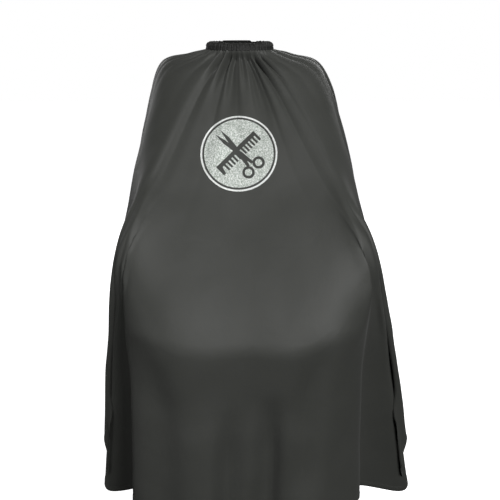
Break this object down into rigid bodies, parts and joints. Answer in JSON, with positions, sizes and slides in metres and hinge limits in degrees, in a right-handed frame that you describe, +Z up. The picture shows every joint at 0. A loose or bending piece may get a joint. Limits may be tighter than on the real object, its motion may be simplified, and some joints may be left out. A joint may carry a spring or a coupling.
{
  "type": "barber cape",
  "caption": "Black polyester barber cape draped as on a seated wearer, with an elastic ruched neckband, a snap closure tab behind the neck and a round silver chest print.",
  "frame": {"origin": "centre of the neck opening, at the middle height of the neckband", "axes": "+Z up, the wearer faces -Y, +X is the wearer's left"},
  "size_m": [0.7276, 0.7293, 1.0519],
  "materials": {
    "cape_polyester": "satin woven polyester",
    "band_cloth": "ruched polyester",
    "elastic": "woven elastic",
    "snap_plastic": "semi-gloss moulded resin",
    "silver_film": "silver glitter transfer film"
  },
  "bodies": {
    "cape": {"cape_panel": "cape_polyester", "neckband_casing": "band_cloth", "neck_elastic": "elastic", "stud_tab": "band_cloth", "snap_stud_1": "snap_plastic", "snap_stud_2": "snap_plastic", "snap_stud_3": "snap_plastic", "snap_stud_4": "snap_plastic", "snap_stud_5": "snap_plastic", "snap_back_cap_1": "snap_plastic", "snap_back_cap_2": "snap_plastic", "snap_back_cap_3": "snap_plastic", "snap_back_cap_4": "snap_plastic", "snap_back_cap_5": "snap_plastic", "emblem_ring": "silver_film", "emblem_disc": "silver_film", "emblem_upper_finger_hole": "silver_film", "emblem_lower_finger_hole": "silver_film"},
    "closure": {"closure_tab": "band_cloth", "closure_cap_1": "snap_plastic", "closure_cap_2": "snap_plastic", "closure_socket_1": "snap_plastic", "closure_socket_2": "snap_plastic"}
  },
  "joints": [
    {"name": "closure_tab_swing", "type": "hinge", "parent": "cape", "child": "closure", "pos_m": [-0.04534, 0.0559, 0.00402], "axis": [0.2868, -0.4967, 0.8192], "range_deg": [0, 110]}
  ]
}
